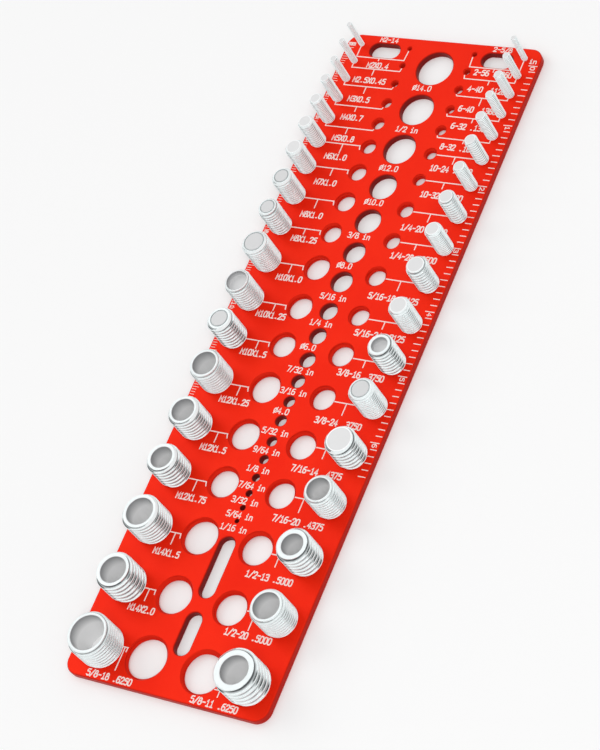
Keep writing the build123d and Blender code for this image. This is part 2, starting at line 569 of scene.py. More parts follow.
@dataclass(frozen=True)
class ThreadForm:
    """The 60 degree thread: its diameters and pitch, and how its wall is drawn.

    crest and root are the shares of a pitch that are flat at the major and at the minor
    diameter, and row_gap is a share of the flank. coarse is the pitch from which a stud's
    groove value, which sets the painted shade in its roots, reaches 1, and hole_groove is
    the value in a tapped hole's groove.
    """

    major: float
    minor: float
    pitch: float
    crest: float = 0.125
    root: float = 0.25
    row_gap: float = 0.12
    coarse: float = 1.7 * MM
    hole_groove: float = 0.6
    mouth_share: float = 0.04
    mouth_limit: float = 0.12 * MM

    @staticmethod
    def from_diameters(major: float, minor: float) -> "ThreadForm":
        """Returns the form whose minor diameter is the major less 1.0825 pitches."""
        return ThreadForm(major, minor, (major - minor) / 1.0825)

    @property
    def mouth(self) -> float:
        """Returns the radius of a tapped hole's countersink at the plate's face."""
        return self.major / 2 + min(self.mouth_limit, self.mouth_share * self.major)

    def radius(self, phase: Array) -> Array:
        """Works out the radius over one pitch: crest, flank, root, flank.

        Args:
            phase: place along the axis in pitches.

        Returns:
            The radius for each phase.
        """
        flank = (1 - self.crest - self.root) / 2
        stops = [0, self.crest, self.crest + flank, self.crest + flank + self.root, 1]
        depth = np.interp(phase % 1.0, stops, [0, 0, 1, 1, 0])
        return (self.major - (self.major - self.minor) * depth) / 2

    def row_phases(self) -> Array:
        """Finds the phases of the rows in one pitch.

        Returns:
            Each flat's ends, and near them a row on each flank, which keeps the flanks'
            shading crisp.
        """
        flank = (1 - self.crest - self.root) / 2
        near = self.row_gap * flank
        low = self.crest + flank
        high = low + self.root
        return np.array([0, self.crest, self.crest + near, low - near, low, high, high + near, 1 - near])

    def wall(
        self,
        shell: Shell,
        centre: Array,
        limits: tuple[float, float],
        facing: Direction,
        trim: Callable[[Array, Array], Array],
        inner: float = 0.0,
    ) -> Rings:
        """Adds the helical wall between two heights.

        Row k has one phase of the thread all the way round, and rises a pitch in a turn:
        z = low + pitch * (k + turn), and r = trim(radius(k), z). At each limit a ring has the
        thread's own section, r = trim(radius((z - low) / pitch - turn), z), and stands for all
        the points past it. The last column joins the first one a pitch of rows later.

        Args:
            shell: the mesh that is built.
            centre: the axis, x and y.
            limits: the lower and the upper z.
            facing: outward for a stud, inward for a hole.
            trim: takes radii and heights, and gives the radii after countersink or chamfer.
            inner: the wall's inner value.

        Returns:
            The indices of the lower and the upper ring.
        """
        outward = facing is Direction.OUTWARD
        count = steps_round(self.major / 2)
        phases = self.row_phases()
        turns = math.ceil((limits[1] - limits[0]) / self.pitch) + 2
        along = (np.arange(turns)[:, None] - 1 + phases[None, :]).ravel()
        share = np.arange(count) / count
        turn = np.stack([np.cos(2 * np.pi * share), np.sin(2 * np.pi * share)])
        ends = []
        for level in limits:
            cut = self.radius((level - limits[0]) / self.pitch - share)
            place = centre[:, None] + trim(cut, np.full(count, level)) * turn
            ends.append(shell.add_points(np.vstack([place, np.full(count, level)]).T))
        low_ring, high_ring = ends
        height = limits[0] + self.pitch * (along[:, None] + share[None, :])
        bare = self.radius(along)[:, None] + np.zeros_like(height)
        radius = trim(bare, height)
        depth = (self.major / 2 - bare) / ((self.major - self.minor) / 2)
        groove = np.where(np.isclose(radius, bare, atol=1e-7), depth, 0.0)
        across, deep = centre[:, None, None] + radius * turn[:, None, :]
        inside = (height > limits[0] + 1e-9) & (height < limits[1] - 1e-9)
        index = np.where(height <= limits[0] + 1e-9, low_ring[None, :], high_ring[None, :])
        points = np.stack([across[inside], deep[inside], height[inside]], axis=1)
        value = np.clip(groove[inside], 0, 1)
        # On a stud the groove value sets the painted shade in its roots, weaker on finer pitches
        strength = min(1.0, self.pitch / self.coarse) if outward else self.hole_groove
        made = shell.add_points(points, strength * value, inner)
        index[inside] = made
        if outward:
            shell.soft.append(made)
        step = len(phases)
        ahead = np.empty_like(index)
        ahead[:, :-1] = index[:, 1:]
        ahead[:-step, -1] = index[step:, 0]
        ahead[-step:, -1] = high_ring[0]
        low, high = index[:-1], index[1:]
        low_ahead, high_ahead = ahead[:-1], ahead[1:]
        if outward:
            shell.quads(low, low_ahead, high_ahead, high)
        else:
            shell.quads(low, high, high_ahead, low_ahead)
        return low_ring, high_ring


@dataclass(frozen=True)
class StatedThread:
    """One thread as packed: its form, its stud's and its tapped hole's axes, its stud's tip."""

    name: str
    form: ThreadForm
    stud: Array
    hole: Array
    tip: float

    @staticmethod
    def from_mount(name: str, mount: dict) -> "StatedThread":
        """Puts a thread together from its stud's box and its tapped hole.

        Args:
            name: the thread's name.
            mount: its tapped hole as stated, which gives the minor radius.

        Returns:
            The thread.
        """
        low, high = node_box(f"stud_{name}")
        form = ThreadForm.from_diameters(high[0] - low[0], 2 * mount["dims"]["r_mm"] * MM)
        return StatedThread(name, form, (low[:2] + high[:2]) / 2, np.array(mount["pos_m"][:2]), high[2])


@lru_cache(maxsize=None)
def threads() -> dict[str, StatedThread]:
    """Returns all the threads by name, each column from the lower edge up."""
    return {name: StatedThread.from_mount(name, mount) for name, mount in stated("tapped_").items()}


@dataclass
class CheckerPlate:
    """The drilled plate, with rims on every hole and threads in the tapped ones.

    The centre slots are given by their ends, in millimetres over the plate's lower edge.
    """

    finish: RedAnodise = RedAnodise()
    rim: float = 0.4 * MM
    plain_rim_share: float = 0.16
    corner: float = 5.0 * MM
    corner_steps: int = 14
    slot_radius: float = 3.0 * MM
    slot_steps: int = 12
    centre_slots: tuple[Corner, ...] = ((15.0, 30.5), (36.0, 58.5))
    # Shares of painted shade on the plate's side and on its tapped walls; plain holes and slots take it in
    # full
    side_painted_shade: float = 0.6
    tapped_painted_shade: float = 0.25

    def __post_init__(self) -> None:
        """Reads the plate's box and starts an empty mesh."""
        self.low, self.high = node_box("plate")
        self.thick = self.high[2]
        self.shell = Shell()

    def rimmed_wall(
        self,
        ring_at: Callable[[float, float], Array],
        rim: float,
        facing: Direction = Direction.INWARD,
        inner: float = 1.0,
    ) -> Rings:
        """Adds a wall with a 45 degree chamfer at each face.

        Args:
            ring_at: gives the ring's points that stand back from the wall by the first number,
                at the height of the second.
            rim: the chamfers' size.
            facing: inward for a hole, outward for the plate's side.
            inner: the wall's share of painted shade, which the faces' edges don't have.

        Returns:
            The indices of the ring at the top face and of the one at the bottom face.
        """
        profile = ((rim, 0.0), (0.0, rim), (0.0, self.thick - rim), (rim, self.thick))
        rings = [self.shell.add_points(ring_at(back, z), 0.0, inner * (back == 0)) for back, z in profile]
        for low, high in zip(rings, rings[1:]):
            self.shell.bridge(low, high, facing)
        return rings[-1], rings[0]

    def plain_wall(self, mount: dict) -> Rings:
        """Adds a plain hole's wall.

        Args:
            mount: the hole as stated.

        Returns:
            The rings at the top and bottom faces.
        """
        centre = np.array(mount["pos_m"][:2])
        radius = mount["dims"]["r_mm"] * MM
        rim = min(self.rim, self.plain_rim_share * radius)
        count = steps_round(radius)
        return self.rimmed_wall(lambda back, z: circle(centre, radius + back, z, count), rim)

    def slot_wall(self, centre: Array, half: Array) -> Rings:
        """Adds a slot's wall.

        Args:
            centre: the slot's middle.
            half: half its width and length.

        Returns:
            The rings at the top and bottom faces.
        """
        def ring_at(back: float, z: float) -> Array:
            """The slot's outline, grown by back."""
            return stadium(centre, half + back, self.slot_radius + back, z, self.slot_steps)

        return self.rimmed_wall(ring_at, self.rim)

    def tapped_wall(self, thread: StatedThread) -> Rings:
        """Adds a tapped hole's helical wall, cut back by a cone at each face.

        Args:
            thread: the hole's thread.

        Returns:
            The rings at the top and bottom faces.
        """
        def cone(radius: Array, height: Array) -> Array:
            """The larger of the thread and a 45 degree cone from the nearer face."""
            return np.maximum(radius, thread.form.mouth - np.minimum(height, self.thick - height))

        limits = (0.0, self.thick)
        made = thread.form.wall(self.shell, thread.hole, limits, Direction.INWARD, cone, self.tapped_painted_shade)
        return made[::-1]

    def seat_wall(self, thread: StatedThread) -> Rings:
        """Adds the straight wall of a stud's seat, at the thread's minor radius.

        Args:
            thread: the stud's thread.

        Returns:
            The rings at the top and bottom faces.
        """
        radius = thread.form.minor / 2
        count = steps_round(radius)
        rings = [circle(thread.stud, radius, z, count) for z in (0.0, self.thick)]
        bottom, top = (self.shell.add_points(ring) for ring in rings)
        self.shell.bridge(bottom, top, Direction.INWARD)
        return top, bottom

    def slots(self) -> list[tuple[Array, Array]]:
        """Finds the two hanging slots and the two centre ones.

        Returns:
            Each slot's middle, and half its width and length.
        """
        hanging = stated("")["hanging_slots"]
        reach = hanging["dims"]["spacing_x_mm"] * MM / 2
        half = np.array([hanging["dims"]["slot_length_mm"] * MM / 2, self.slot_radius])
        found = [(np.array([x, hanging["pos_m"][1]]), half) for x in (-reach, reach)]
        for low, high in self.centre_slots:
            middle = np.array([0.0, self.low[1] + (low + high) / 2 * MM])
            found.append((middle, np.array([self.slot_radius, (high - low) / 2 * MM])))
        return found

    def build(self) -> Object:
        """Builds the plate and dresses it.

        Returns:
            The finished plate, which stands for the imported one.
        """
        centre = (self.low[:2] + self.high[:2]) / 2
        half = (self.high[:2] - self.low[:2]) / 2

        def ring_at(back: float, z: float) -> Array:
            """The plate's outline, drawn in by back."""
            return stadium(centre, half - back, self.corner - back, z, self.corner_steps)

        outline = self.rimmed_wall(ring_at, self.rim, Direction.OUTWARD, self.side_painted_shade)
        walls = [
            *(self.plain_wall(mount) for mount in stated("gauge_hole_").values()),
            *(self.tapped_wall(thread) for thread in threads().values()),
            *(self.seat_wall(thread) for thread in threads().values()),
            *(self.slot_wall(*slot) for slot in self.slots()),
        ]
        tops, bottoms = zip(*walls)
        self.shell.sheet(outline[0], tops, True)
        self.shell.sheet(outline[1], bottoms, False)
        plate = self.shell.mesh_object("checker_plate", self.finish.material())
        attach(plate, "root")
        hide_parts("plate")
        log.info("plate: %d triangles", len(plate.data.polygons))
        return plate


@dataclass
class StudRank:
    """All the studs of both columns, each with its own thread.

    The matt values are inner values, as BrightPlating reads them; the mouth's one also gives
    a bore's mouth its painted shade, and the ring mark's groove value paints shade in its
    groove. ENDS gives the diameter of a stud's bore, recess or ring mark in millimetres, and
    a stud that isn't in it is solid.
    """

    finish: BrightPlating = BrightPlating()
    fine_finish: BrightPlating = BrightPlating(
        name="fine_plating", metal=0.88, root_level=0.6, roughness=0.12
    )
    fine_pitch: float = 1.42 * MM
    end_matt: float = 0.67
    end_share: float = 0.9
    ring_matt: float = 0.73
    # The groove value in a ring mark's groove, which paints shade in it
    ring_painted_shade: float = 0.72
    ring_width: float = 0.44 * MM
    ring_depth: float = 0.3 * MM
    floor_matt: float = 0.7
    # The mouth's value is matt and paints shade at a bore's mouth, down a shaded share of the stud's
    # height
    mouth_matt_and_shade: float = 1.0
    bore_matt: float = 0.5
    shaded_mouth_share: float = 0.38
    bore_rim: float = 0.25 * MM
    recess: float = 2.5 * MM
    lead_share: float = 0.12
    lead_limit: float = 1.0 * MM

    ENDS = {
        EndKind.BORE: {
            "5_8_18": 12.4, "m14x2": 9.5, "m14x1_5": 9.9, "m12x1_75": 7.9, "m12x1_5": 8.4,
            "m12x1_25": 8.8, "5_8_11": 9.9, "1_2_20": 9.3, "1_2_13": 7.7, "7_16_20": 8.1,
        },
        EndKind.RECESS: {"m10x1_25": 7.6, "3_8_16": 5.7},
        EndKind.RING: {"m10x1": 7.3, "m8x1_25": 5.2, "m8x1": 5.2, "m10x1_5": 6.3, "3_8_24": 6.4},
    }

    def end_kind(self, name: str) -> tuple[EndKind, float]:
        """Looks up a stud's end.

        Args:
            name: the thread's name.

        Returns:
            Its kind, and the radius of what is in it.
        """
        for kind, sizes in self.ENDS.items():
            if name in sizes:
                return kind, sizes[name] * MM / 2
        return EndKind.SOLID, 0.0

    def end_rings(
        self, kind: EndKind, radius: float, edge: float, tip: float
    ) -> list[tuple[float, float, float, float]]:
        """Works out the rings from the end face's edge inwards and down the bore.

        Args:
            kind: what is in the end face.
            radius: that thing's radius.
            edge: the end face's outer radius.
            tip: the end face's height.

        Returns:
            Each ring's radius, height, groove value and inner value. The last ring is at the
            bottom face for a bore, and otherwise round what closes the end.
        """
        if kind is EndKind.SOLID:
            return [(edge * self.end_share, tip, 0.0, self.end_matt)]
        if kind is EndKind.RING:
            wide, narrow = radius + self.ring_width / 2, radius - self.ring_width / 2
            floor = tip - self.ring_depth
            # The ring's groove floor takes painted shade
            groove = [(wide, floor, self.ring_painted_shade, 0.0), (narrow, floor, self.ring_painted_shade, 0.0)]
            return [(wide, tip, 0.0, 0.0), *groove, (narrow, tip, 0.0, self.ring_matt)]
        mouth = [(radius + self.bore_rim, tip, 0.0, 0.0)]
        mouth.append((radius, tip - self.bore_rim, 0.0, self.mouth_matt_and_shade))
        if kind is EndKind.RECESS:
            return [*mouth, (radius, tip - self.recess, 0.0, self.floor_matt)]
        # A bore is painted dark grey at its mouth as shade, fading to near white this far down
        deep = tip * (1 - self.shaded_mouth_share)
        return [*mouth, (radius, deep, 0.0, self.bore_matt), (radius, 0.0, 0.0, self.bore_matt)]

    def build_one(self, thread: StatedThread, material: Material) -> Object:
        """Makes one stud.

        Args:
            thread: the stud's thread.
            material: the plating.

        Returns:
            The stud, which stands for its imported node.
        """
        node = f"stud_{thread.name}"
        form, centre, tip = thread.form, thread.stud, thread.tip
        base = node_box("plate")[1][2]
        count = steps_round(form.major / 2)
        edge = form.major / 2 - min(self.lead_limit, self.lead_share * form.major)
        shell = Shell()
        foot = shell.add_points(circle(centre, form.minor / 2, 0.0, count), 0.0)
        # The shoulder lies at the root's depth and takes the full groove value, so painted shade rings the
        # stud's foot
        shoulder = shell.add_points(circle(centre, form.minor / 2, base, count), 1.0)

        def chamfer(radius: Array, height: Array) -> Array:
            """The smaller of the thread and the tip's 45 degree cone."""
            return np.minimum(radius, edge + (tip - height))

        start, last = form.wall(shell, centre, (base, tip), Direction.OUTWARD, chamfer)
        shell.bridge(foot, shoulder, Direction.OUTWARD)
        shell.bridge(shoulder, start, Direction.OUTWARD)
        kind, inside = self.end_kind(thread.name)
        for radius, height, groove, inner in self.end_rings(kind, inside, edge, tip):
            ring = shell.add_points(circle(centre, radius, height, count), groove, inner)
            shell.bridge(last, ring, Direction.OUTWARD)
            last = ring
        if kind is EndKind.BORE:
            shell.bridge(last, foot, Direction.OUTWARD)
        else:
            shell.fan(last, np.array([*centre, height]), True, inner)
            shell.fan(foot, np.array([*centre, 0.0]), False)
        made = shell.mesh_object(f"threaded_{node}", material)
        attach(made, "root")
        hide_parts(node)
        return made

    def build(self) -> int:
        """Makes all the studs.

        Returns:
            How many triangles they have.
        """
        bright, fine = self.finish.material(), self.fine_finish.material()
        total = 0
        for thread in threads().values():
            made = self.build_one(thread, fine if thread.form.pitch < self.fine_pitch else bright)
            total += len(made.data.polygons)
            log.info("stud %s: %d triangles", thread.name, len(made.data.polygons))
        return total


@dataclass(frozen=True)
class StrokeFont:
    """A plain engraver's alphabet: each sign is strokes on a grid of 1 by 1."""

    height: float = 2.2 * MM
    width: float = 1.14 * MM
    advance: float = 1.52 * MM
    pen: float = 0.4 * MM

    SHARP = "147MX/-."
    SIGNS = {
        "0": (((0, 0.2), (0, 0.8), (0.2, 1), (0.8, 1), (1, 0.8), (1, 0.2), (0.8, 0), (0.2, 0), (0, 0.2)),),
        "1": (((0.2, 0.78), (0.52, 1), (0.52, 0)), ((0.15, 0), (0.9, 0))),
        "2": (((0, 0.78), (0.15, 1), (0.85, 1), (1, 0.72), (0.75, 0.45), (0, 0.02), (0, 0), (1, 0)),),
        "3": (((0, 0.92), (0.3, 1), (0.95, 1), (0.95, 0.55), (0.35, 0.53)),
              ((0.35, 0.53), (1, 0.52), (1, 0), (0.3, 0), (0, 0.08))),
        "4": (((0.72, 0), (0.72, 1), (0, 0.3), (1, 0.3)),),
        "5": (((0.95, 1), (0.08, 1), (0.03, 0.56), (0.5, 0.64), (1, 0.55), (1, 0), (0.3, 0), (0, 0.1)),),
        "6": (((0.85, 1), (0.2, 0.98), (0, 0.6), (0, 0), (1, 0), (1, 0.58), (0.1, 0.58)),),
        "7": (((0, 1), (1, 1), (0.35, 0)),),
        "8": (((0.5, 0.54), (0.14, 0.56), (0.14, 1), (0.86, 1), (0.86, 0.56), (0.5, 0.54)),
              ((0.5, 0.54), (0, 0.54), (0, 0), (1, 0), (1, 0.54), (0.5, 0.54)),
              ((0.3, 0.54), (0.7, 0.54))),
        "9": (((0.15, 0), (0.8, 0.02), (1, 0.4), (1, 1), (0, 1), (0, 0.42), (0.9, 0.42)),),
        "/": (((0, -0.06), (1, 1.06)),),
        "-": (((0.1, 0.5), (0.9, 0.5)),),
        ".": (((0.36, 0.07), (0.64, 0.07)),),
        "M": (((0, 0), (0, 1), (0.5, 0.35), (1, 1), (1, 0)),),
        "X": (((0, 0), (1, 1)), ((0, 1), (1, 0))),
        "O": (((0.5, 0.12), (0, 0.14), (0, 0.86), (1, 0.86), (1, 0.14), (0.5, 0.12)),
              ((0.05, -0.05), (0.95, 1.05))),
        "i": (((0.2, 0.64), (0.52, 0.64), (0.52, 0)), ((0.2, 0), (0.85, 0)), ((0.52, 0.86), (0.52, 1))),
        "n": (((0.08, 0), (0.08, 0.66)), ((0.08, 0.5), (0.4, 0.68), (0.95, 0.66), (0.95, 0))),
        "m": (((0, 0), (0, 0.66)), ((0, 0.5), (0.2, 0.68), (0.5, 0.64), (0.5, 0)),
              ((0.5, 0.5), (0.7, 0.68), (1, 0.64), (1, 0))),
    }

    def strokes(self, text: str, start: Array, turned: bool = False) -> list[Array]:
        """Sets a line of text.

        Args:
            text: the signs, "O" being the diameter sign.
            start: lower left corner, x and y in metres.
            turned: whether the line runs down the plate.

        Returns:
            The strokes as arrays of x and y.
        """
        out = []
        for place, sign in enumerate(text):
            for stroke in self.SIGNS.get(sign, ()):
                points = np.array(stroke, float)
                points = points if sign in self.SHARP else self.rounded(points)
                points = points * [self.width, self.height] + [place * self.advance, 0]
                if turned:
                    points = points[:, ::-1] * [1, -1]
                out.append(points + start)
        return out

    @staticmethod
    def rounded(points: Array) -> Array:
        """Cuts the corners of a stroke twice: each run keeps its points at a quarter and three.

        Args:
            points: the stroke's x and y.

        Returns:
            The smoother stroke, with the same ends.
        """
        for _ in range(2):
            quarter = 0.75 * points[:-1] + 0.25 * points[1:]
            three = 0.25 * points[:-1] + 0.75 * points[1:]
            inner = np.stack([quarter, three], axis=1).reshape(-1, 2)
            points = np.vstack([points[:1], inner[1:-1], points[-1:]])
        return points


@dataclass
class InkLayer:
    """Flat strokes just above the plate's face, gathered in one mesh.

    Strokes rise along their length and lie over each other by steps, so that none clash.
    """

    lift: float = 0.02 * MM
    step: float = 0.008 * MM
    rise: float = 0.8
    levels: int = 5
    overrun: float = 0.8
    miter_limit: float = 1.6

    def __post_init__(self) -> None:
        """Finds the printing's height and the plate's lower edge, and starts an empty mesh."""
        low, high = node_box("plate")
        self.height = high[2] + self.lift
        self.origin = np.array([0.0, low[1]])
        self.shell = Shell()
        self.count = 0

    def stroke(self, points: Array, pen: float) -> None:
        """Adds a ribbon along a line.

        Each point is moved half a pen's width to both sides along the corner's own normal,
        which is lengthened by 1 / cos(half the turn), up to miter_limit.

        Args:
            points: x and y along the line, in metres.
            pen: the ribbon's width.
        """
        half = pen / 2
        run = np.diff(points, axis=0)
        run /= np.maximum(np.linalg.norm(run, axis=1, keepdims=True), 1e-12)
        closed = np.allclose(points[0], points[-1])
        before = np.vstack([run[-1:] if closed else run[:1], run])
        after = np.vstack([run, run[:1] if closed else run[-1:]])
        middle = before + after
        middle /= np.maximum(np.linalg.norm(middle, axis=1, keepdims=True), 1e-12)
        stretch = np.minimum(1 / np.maximum((middle * before).sum(axis=1), 0.4), self.miter_limit)
        side = np.stack([-middle[:, 1], middle[:, 0]], axis=1) * (half * stretch)[:, None]
        if not closed:
            points = points.copy()
            points[0] -= run[0] * half * self.overrun
            points[-1] += run[-1] * half * self.overrun
        self.count += 1
        rise = np.linspace(0.0, self.rise, len(points))[:, None]
        z = self.height + (self.count % self.levels + rise) * self.step
        left = self.shell.add_points(np.hstack([points + side, z]))
        right = self.shell.add_points(np.hstack([points - side, z]))
        self.shell.quads(right[:-1], right[1:], left[1:], left[:-1])

    def line(self, pen: float, *corners: Corner) -> None:
        """Adds a ribbon, pen metres wide, through corners in the printing's millimetres."""
        self.stroke(np.array(corners, float) * MM + self.origin, pen)

    def write(self, font: StrokeFont, text: str, x: float, y: float, turned: bool = False) -> None:
        """Writes a line whose lower left corner is at x and y in the printing's millimetres."""
        for stroke in font.strokes(text, np.array([x * MM, y * MM]) + self.origin, turned):
            self.stroke(stroke, font.pen)

    def finish(self, name: str, material: Material) -> None:
        """Makes the layer's object, which rides on the plate.

        Args:
            name: the object's name.
            material: the ink.
        """
        made = self.shell.mesh_object(name, material)
        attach(made, "root")
        log.info("%s: %d triangles", name, len(made.data.polygons))


@dataclass(frozen=True)
class ThreadMark:
    """The printing of one thread, in millimetres from its row: leader line and size.

    line and tick_end are heights, tick is the x of the tick, and text_x and text_y are the
    lower left corner of the size. turn is the x at which a leader that passes below its stud
    turns up to the tapped hole.
    """

    name: str
    text: str
    line: float
    tick: float
    tick_end: float
    text_x: float
    text_y: float
    turn: float | None = None


METRIC_MARKS = tuple(ThreadMark(*row) for row in (
    ("5_8_18", "5/8-18 .6250", 1.7, -20.5, -6.7, -30.4, -10.6),
    ("m14x2", "M14X2.0", 0.1, -21.1, -4.3, -26.0, -8.4),
    ("m14x1_5", "M14X1.5", -0.7, -20.7, -5.0, -26.0, -9.3),
    ("m12x1_75", "M12X1.75", -1.1, -21.4, -5.3, -26.7, -8.9),
    ("m12x1_5", "M12X1.5", -1.0, -21.5, -4.9, -25.9, -8.3),
    ("m12x1_25", "M12X1.25", -1.0, -20.9, -4.7, -26.7, -8.1),
    ("m10x1_5", "M10X1.5", 0.0, -21.6, -3.1, -26.8, -6.0),
    ("m10x1_25", "M10X1.25", -0.4, -21.5, -3.1, -27.3, -6.1),
    ("m10x1", "M10X1.0", -0.2, -21.9, -3.6, -25.9, -6.8),
    ("m8x1_25", "M8X1.25", 0.1, -22.9, -2.1, -26.8, -5.2),
    ("m8x1", "M8X1.0", -0.4, -23.2, -4.1, -27.4, -8.1),
    ("m7x1", "M7X1.0", 0.4, -22.7, -2.6, -27.7, -6.8),
    ("m6x1", "M6X1.0", -0.1, -23.1, -4.0, -28.2, -6.8),
    ("m5x0_8", "M5X0.8", -3.2, -24.0, -5.7, -28.4, -8.9, -13.7),
    ("m4x0_7", "M4X0.7", -2.9, -24.3, -5.0, -28.7, -8.8, -13.9),
    ("m3x0_5", "M3X0.5", -2.6, -24.0, -5.5, -29.2, -9.3, -13.4),
    ("m2_5x0_45", "M2.5X0.45", -2.8, -23.9, -5.5, -30.6, -8.9, -13.3),
    ("m2x0_4", "M2X0.4", -5.45, -23.9, -6.5, -27.6, -9.7, -13.6),
))
INCH_MARKS = tuple(ThreadMark(*row) for row in (
    ("5_8_11", "5/8-11 .6250", -4.5, 20.2, -6.8, 11.2, -10.55),
    ("1_2_20", "1/2-20 .5000", 0.5, 21.0, -5.8, 12.9, -8.9),
    ("1_2_13", "1/2-13 .5000", -0.7, 20.9, -4.8, 11.6, -10.1),
    ("7_16_20", "7/16-20 .4375", -0.1, 21.0, -5.1, 12.6, -9.7),
    ("7_16_14", "7/16-14 .4375", 0.3, 21.3, -3.3, 11.6, -9.5),
    ("3_8_24", "3/8-24 .3750", -0.6, 21.7, -5.1, 12.6, -9.3),
    ("3_8_16", "3/8-16 .3750", -0.7, 21.9, -3.5, 13.4, -7.6),
    ("5_16_24", "5/16-24 .3125", -0.7, 23.0, -3.6, 13.4, -7.4),
    ("5_16_18", "5/16-18 .3125", -0.5, 22.5, -4.3, 12.6, -8.7),
    ("1_4_28", "1/4-28 .2500", -0.1, 22.4, -2.2, 14.4, -6.6),
    ("1_4_20", "1/4-20 .2500", -0.5, 22.9, -3.8, 13.8, -8.1),
    ("no10_32", "10-32 .1900", 0.0, 23.0, -2.5, 15.8, -6.6),
    ("no10_24", "10-24 .1900", -0.2, 23.0, -3.2, 15.2, -6.7),
    ("no8_32", "8-32 .1640", -3.1, 23.6, -4.5, 15.6, -7.6, 12.9),
    ("no6_32", "6-32 .1380", -2.9, 23.6, -4.6, 16.4, -7.7, 13.0),
    ("no6_40", "6-40 .1380", -2.6, 23.6, -5.8, 16.4, -8.8, 13.4),
    ("no4_40", "4-40 .1120", -3.1, 23.6, -4.8, 16.6, -8.2, 13.4),
    ("no2_56", "2-56 .0860", -5.45, 23.6, -6.8, 16.4, -8.6, 13.5),
))
GAUGE_TEXTS = (
    ("O14.0", -5.1, 239.1), ("1/2 in", -4.7, 221.2), ("O12.0", -4.4, 204.6),
    ("O10.0", -4.4, 190.2), ("3/8 in", -5.2, 176.1), ("O8.0", -4.3, 163.8),
    ("5/16 in", -5.6, 151.0), ("1/4 in", -5.2, 140.4), ("O6.0", -4.6, 130.7),
    ("7/32 in", -5.9, 121.5), ("3/16 in", -5.0, 113.2), ("O4.0", -4.1, 105.4),
    ("5/32 in", -5.3, 97.5), ("9/64 in", -5.4, 90.1), ("1/8 in", -4.8, 83.0),
    ("7/64 in", -5.1, 76.6), ("3/32 in", -5.3, 70.9), ("5/64 in", -5.0, 65.6),
    ("1/16 in", -5.2, 60.7),
)
HEAD_TEXTS = (("M2-14", -26.6, 258.45), ("2-5/8", 20.2, 258.45))


@dataclass(frozen=True)
class Rule:
    """A rule down one long edge, in millimetres.

    drop is from the plate's top edge to the zero tick, start is the ticks' outer x, and
    reaches are the inner x of a whole tick, of a half and of the others. numeral is a
    numeral's x and drop from its tick, and sign_place the unit's x and drop from the top edge.
    """

    name: str
    sign: str
    spacing: float
    ticks: int
    drop: float
    start: float
    reaches: Triple
    pen: float
    numeral: Corner
    sign_place: Corner

    def reach(self, tick: int) -> float:
        """Returns the inner x of a tick: every tenth is a whole, and every fifth a half."""
        whole, half, other = self.reaches
        return whole if tick % 10 == 0 else half if tick % 5 == 0 else other


RULES = (
    Rule(
        name="inch_rule", sign="in", spacing=2.54, ticks=66, drop=7.3, start=39.45, pen=0.34,
        reaches=(36.2, 36.8, 37.2), numeral=(37.25, 0.5), sign_place=(35.9, 6.3),
    ),
    Rule(
        name="metric_rule", sign="mm", spacing=1.0, ticks=151, drop=6.3, start=-39.3, pen=0.2,
        reaches=(-36.4, -37.0, -37.6), numeral=(-38.9, 0.4), sign_place=(-39.0, 5.3),
    ),
)


